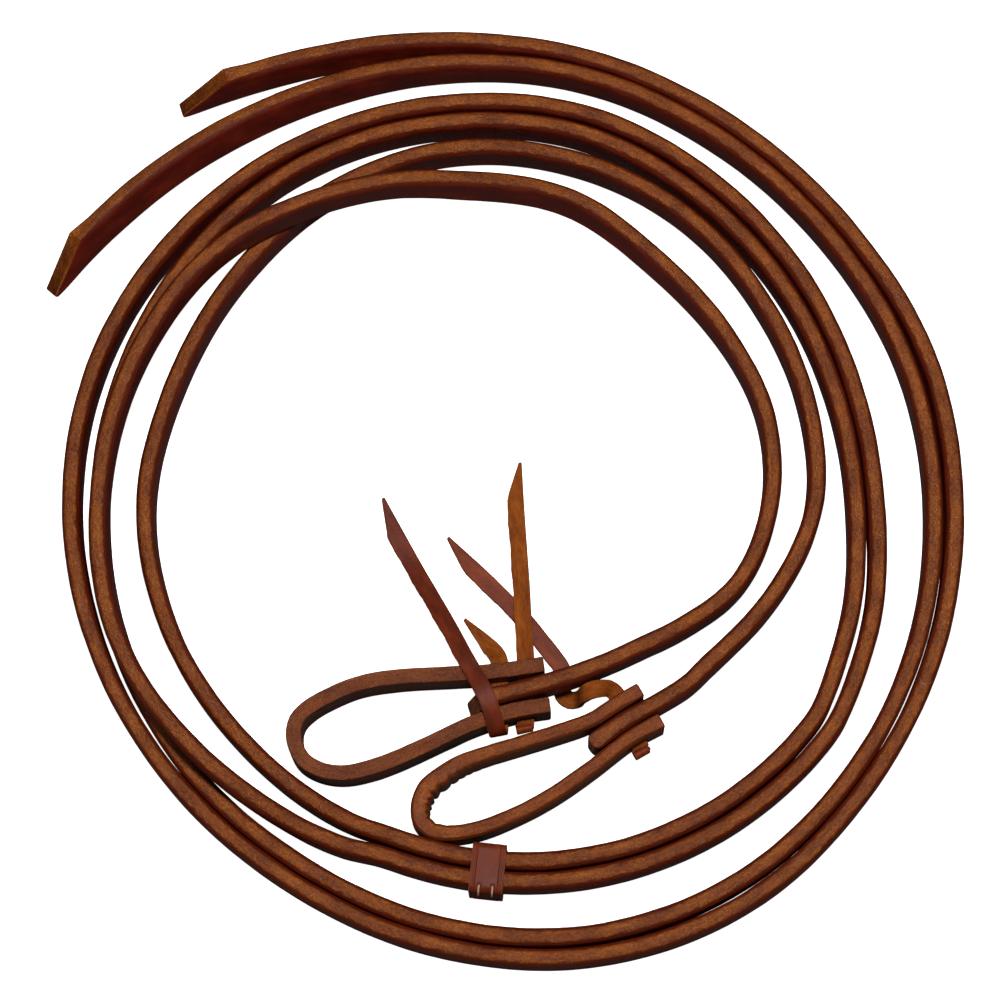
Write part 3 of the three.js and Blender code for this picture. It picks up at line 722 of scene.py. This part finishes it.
def keeper_band():
    half = KEEPER_LENGTH / 2
    outer = rounded_loop(KEEPER_HALF_OUTSIDE, KEEPER_FLOOR_GAP, KEEPER_TOP, 2.6)
    inner = rounded_loop(
        KEEPER_HALF_INSIDE, KEEPER_FLOOR_GAP + KEEPER_WALL, KEEPER_TOP - KEEPER_WALL, 1.0)
    profile = [
        (half - 0.02, -0.55), (half, -0.3), (half - 0.12, -0.1), (half - 0.45, 0), (half - 0.85, 0),
        (half - 1.05, -0.16), (half - 1.25, 0), (half - 1.7, 0.03), (half - 2.4, 0.05),
    ]
    middle = [(y, 0.06) for y in np.linspace(4.1, -4.1, 34)]
    across = [*profile, *middle, *((-y, h) for y, h in reversed(profile))]
    count = len(outer)
    length = np.append(0, np.cumsum(np.linalg.norm(np.diff(outer[:, :2], axis=0), axis=1)))
    rings, straps, edges = [], [], []
    for y, height in across:
        uneven = 0.07 * ripple(length, 2.0 + 0.05 * y, (27, 11, 6))
        offset = height + uneven - stitch_pits(outer[:, 0], y, outer[:, 1])
        xz = outer[:, :2] + outer[:, 2:] * offset[:, None]
        rings.append(np.column_stack([xz[:, 0], np.full(count, y), xz[:, 1]]))
        straps.append(np.column_stack([length, np.full(count, 0.9), np.full(count, y)]))
        edges.append(np.full(count, 1.0 if abs(y) > half - 0.2 else 0.0))
    for y, shrink in ((-half, 0.3), (-half + 0.3, 0), (0, 0), (half - 0.3, 0), (half, 0.3)):
        xz = inner[:, :2] + inner[:, 2:] * shrink
        rings.append(np.column_stack([xz[:, 0], np.full(count, y), xz[:, 1]]))
        straps.append(np.column_stack([length, np.full(count, -0.9), np.full(count, y)]))
        edges.append(np.full(count, 1.0))
    faces = []
    total = len(rings)
    for ring in range(total):
        following = (ring + 1) % total
        for i in range(count):
            a, b = ring * count + i, ring * count + (i + 1) % count
            c, d = following * count + (i + 1) % count, following * count + i
            faces.append((a, b, c, d))
    points = place_on_arc(np.vstack(rings))
    return mesh_object("keeper_band_leather", points, faces, np.vstack(straps), np.concatenate(edges))


def keeper_stitch(name, along):
    """A two-ply thread out of the top of the band, over its outer corner and back in through its outer wall."""
    inset = KEEPER_HALF_OUTSIDE - STITCH_INSET
    drop = KEEPER_TOP - STITCH_DROP
    height = STITCH_RADIUS + 0.1
    route = [
        [inset, along, KEEPER_TOP - KEEPER_WALL], [inset, along, KEEPER_TOP - 0.3],
        [inset + 0.4, along, KEEPER_TOP + height], [KEEPER_HALF_OUTSIDE - 0.35, along, KEEPER_TOP - 0.35],
        [KEEPER_HALF_OUTSIDE + height, along, drop + 0.4], [KEEPER_HALF_OUTSIDE - 0.3, along, drop],
        [KEEPER_HALF_OUTSIDE - KEEPER_WALL, along, drop],
    ]
    point, tangent, _, at = sample_route(route, [[0]] * len(route), 0.16)
    sides = 12
    rings, straps = [], []
    for centre, ahead, s in zip(point, tangent, at):
        aside = np.array([0, 1.0, 0])
        up = np.cross(ahead, aside)
        turns = np.linspace(0, 2 * math.pi, sides, endpoint=False)
        radius = STITCH_RADIUS * (0.9 + 0.1 * np.cos(2 * (turns - 2.2 * s)))
        rings.append(centre + np.outer(radius * np.cos(turns), aside) + np.outer(radius * np.sin(turns), up))
        straps.append(np.column_stack([np.full(sides, s), radius * np.cos(turns), radius * np.sin(turns)]))
    points = place_on_arc(np.vstack(rings))
    faces = [tuple(reversed(face)) for face in tube_faces(len(rings), sides)]
    return mesh_object(name, points, faces, np.vstack(straps), np.zeros(len(points)))


# ---------------------------------------------------------------- assembly

def finish_piece(piece, body, material, slot, *nodes):
    piece.data.materials.clear()
    piece.data.materials.append(material)
    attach(piece, body)
    if nodes:
        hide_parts(*nodes)


def loop_wrinkles(s, u, w):
    """Leather pressed into folds inside the bend of the right water loop, as moves along u and w."""
    depth = math.exp(-((s - 88) / 17) ** 2)
    fold = abs(math.sin(math.pi * (s + 1.1 * math.sin(s / 3.7)) / 3.9)) ** 0.6
    inside = smoothstep(-u, -0.6, 2.6)
    return -1.7 * depth * (0.3 + 0.7 * fold) * inside, -0.7 * depth * (1 - fold) * inside * smoothstep(w, 2, 7)


def add_reins(leather):
    shapes = {
        "left": dict(lead_in=LEFT_LEAD_IN, radii=LEFT_REIN_RADII, arc_radius=LEFT_ARC_RADIUS,
                     coil_end=LEFT_COIL_END, lift=LEFT_REIN_LIFT, lean=LEFT_REIN_LEAN),
        "right": dict(lead_in=RIGHT_LEAD_IN, radii=RIGHT_REIN_RADII, arc_radius=RIGHT_ARC_RADIUS,
                      coil_end=RIGHT_COIL_END, lift=RIGHT_REIN_LIFT, lean=RIGHT_REIN_LEAN),
    }
    slits = {"left": [LEFT_FRONT_SLIT, LEFT_BACK_SLIT], "right": [RIGHT_SLIT]}
    for side, seed in (("left", 1.3), ("right", 4.1)):
        piece, path = strap_on_edge(
            f"{side}_rein_leather", rein_route(**shapes[side]), REIN_THICKNESS, 2.55, seed, cut_end=True,
            tip=RIGHT_END_ROUNDING if side == "right" else 0.0, slant=LEFT_END_SLANT if side == "left" else 0.0)
        cut_slits(piece, slits[side])
        finish_piece(piece, "reins", leather, "strap_leather", f"{side}_rein_strap")
        path = in_metres(path)


def add_laces(leathers):
    front, path = lace_along("left_front_lace_leather", LEFT_FRONT_LACE, 2.0, lambda s: 1, pointed_end=True)
    finish_piece(front, "reins", leathers[0], "lace_leather", "left_tie_lace_front")
    declare_lace(path[::-1])
    for name, route, place, slit_mouth, node, leather, grain_up in (
        ("left_back_lace", LEFT_BACK_LACE, LEFT_BUTTON, (7.6, -88, 8), "left_tie_lace_back", leathers[1],
         lambda s: -1),
        ("right_lace", RIGHT_LACE, RIGHT_BUTTON, (49, -97, 8), "right_tie_lace", leathers[1],
         lambda s: 1 if s < RIGHT_LACE_FLIP else -1),
    ):
        piece, path = lace_along(f"{name}_leather", route, 5.0, grain_up)
        button = rolled_button(f"{name}_button", place)
        finish_piece(piece, "reins", leather, "lace_leather", node)
        finish_piece(button, "reins", leather, "lace_leather")
        declare_lace(path[::-1])


def declare_lace(path):
    path = in_metres(path)


def add_loops(left_leather, right_leather):
    on_floor = lambda points: [[x, y, 0, 0] for x, y in points]
    left, _ = strap_on_edge("left_loop_leather", on_floor(LEFT_LOOP), LOOP_THICKNESS, 0.5, 6.2)
    cut_slits(left, [LEFT_FRONT_SLIT, LEFT_BACK_SLIT])
    finish_piece(left, "reins", left_leather, "loop_leather", "left_water_loop")
    right, _ = strap_on_edge(
        "right_loop_leather", on_floor(RIGHT_LOOP), LOOP_THICKNESS, 1.8, 8.8, wrinkles=loop_wrinkles, step=0.45)
    cut_slits(right, [RIGHT_SLIT])
    finish_piece(right, "reins", right_leather, "loop_leather", "right_water_loop")


def add_keeper():
    finish_piece(keeper_band(), "keeper", keeper_leather("keeper_leather_look"), "keeper_leather", "keeper_band")
    thread = thread_material("thread_look")
    for number, along in ((1, -STITCH_SPACING / 2), (2, STITCH_SPACING / 2)):
        stitch = keeper_stitch(f"keeper_thread_{number}", along)
        finish_piece(stitch, "keeper", thread, "thread", f"keeper_stitch_{number}")


def add_light(name, location, energy, size):
    """A round soft light that points at the middle of the coil."""
    data = bpy.data.lights.new(name, "AREA")
    data.energy = energy
    data.shape = "DISK"
    data.size = size
    light = bpy.data.objects.new(name, data)
    bpy.context.scene.collection.objects.link(light)
    light.location = location
    light.rotation_euler = (-Vector(location)).to_track_quat("-Z", "Y").to_euler()


def add_studio():
    scene = bpy.context.scene
    scene.view_settings.view_transform = "Standard"
    world = bpy.data.worlds.new("studio")
    world.use_nodes = True
    world.node_tree.nodes["Background"].inputs["Color"].default_value = (1, 1, 1, 1)
    world.node_tree.nodes["Background"].inputs["Strength"].default_value = 0.03
    scene.world = world
    corners = [(-1, -1), (1, -1), (1, 1), (-1, 1)]
    floor = mesh_object("floor", [[x * FLOOR_HALF, y * FLOOR_HALF, FLOOR_LEVEL] for x, y in corners], [(0, 1, 2, 3)])
    floor.data.materials.append(floor_look())
    add_light("overhead", (0.02, 0.03, 1.3), energy=16.5, size=0.14)
    for number, degrees in enumerate((20, 110, 200, 290)):
        turn = math.radians(degrees)
        place = (1.1 * math.cos(turn), 1.1 * math.sin(turn), 0.75)
        add_light(f"soft_side_{number}", place, energy=1.6, size=0.5)


def floor_look():
    """A pale floor that looks near white, and throws only a little light back on the leather."""
    n = Nodes("floor_look")
    n.shader.inputs["Base Color"].default_value = (0.9, 0.9, 0.9, 1)
    n.shader.inputs["Roughness"].default_value = 0.9
    n.shader.inputs["Specular IOR Level"].default_value = 0.1
    n.shader.inputs["Emission Color"].default_value = (1, 1, 1, 1)
    n.shader.inputs["Emission Strength"].default_value = 1.0
    dull = n.add("ShaderNodeBsdfDiffuse", {"Color": (0.09, 0.085, 0.08)})
    seen = n.add("ShaderNodeLightPath").outputs["Is Camera Ray"]
    mixed = n.add("ShaderNodeMixShader", {0: seen, 1: dull.outputs[0], 2: n.shader.outputs[0]})
    n.tree.links.new(mixed.outputs[0], n.tree.nodes["Material Output"].inputs["Surface"])
    return n.material


make_camera()

EDGE_BROWN = [(0.36, (0.085, 0.014, 0.001)), (0.47, (0.168, 0.036, 0.002)), (0.56, (0.24, 0.057, 0.003)),
              (0.68, (0.38, 0.108, 0.007))]
FACE_RED = [(0.3, (0.060, 0.0038, 0.001)), (0.5, (0.100, 0.0065, 0.0016)), (0.72, (0.165, 0.014, 0.003))]
# The last colour is painted shade along the rounded corners of the reins.
rein_look = strap_leather("rein_leather_look", EDGE_BROWN, FACE_RED, (0.070, 0.009, 0.001))
# The last colour is a painted highlight line along the crisp corners of the left loop.
left_loop_look = strap_leather(
    "left_loop_leather_look",
    [(0.36, (0.078, 0.015, 0.002)), (0.5, (0.150, 0.031, 0.003)), (0.66, (0.225, 0.052, 0.005))],
    [(0.3, (0.055, 0.009, 0.002)), (0.7, (0.125, 0.024, 0.004))], (0.17, 0.038, 0.005), sharp=True)
# The last colour is painted shade along the rounded corners of the right loop.
right_loop_look = strap_leather(
    "right_loop_leather_look",
    [(0.36, (0.110, 0.019, 0.002)), (0.5, (0.195, 0.041, 0.003)), (0.66, (0.32, 0.076, 0.006))],
    [(0.3, (0.072, 0.012, 0.002)), (0.7, (0.19, 0.042, 0.005))], (0.10, 0.016, 0.002), edge_rough=(0.3, 0.55))
FLESH = [(0.34, (0.108, 0.021, 0.002)), (0.5, (0.180, 0.040, 0.003)), (0.68, (0.275, 0.072, 0.007))]
dark_lace = lace_leather(
    "dark_lace_leather_look",
    [(0.3, (0.058, 0.007, 0.001)), (0.52, (0.097, 0.012, 0.002)), (0.74, (0.140, 0.020, 0.003))], FLESH)
orange_lace = lace_leather(
    "orange_lace_leather_look",
    [(0.3, (0.085, 0.010, 0.001)), (0.52, (0.135, 0.018, 0.001)), (0.74, (0.195, 0.030, 0.002))], FLESH)

add_reins(rein_look)
add_laces([dark_lace, orange_lace])
add_loops(left_loop_look, right_loop_look)
add_keeper()
add_studio()
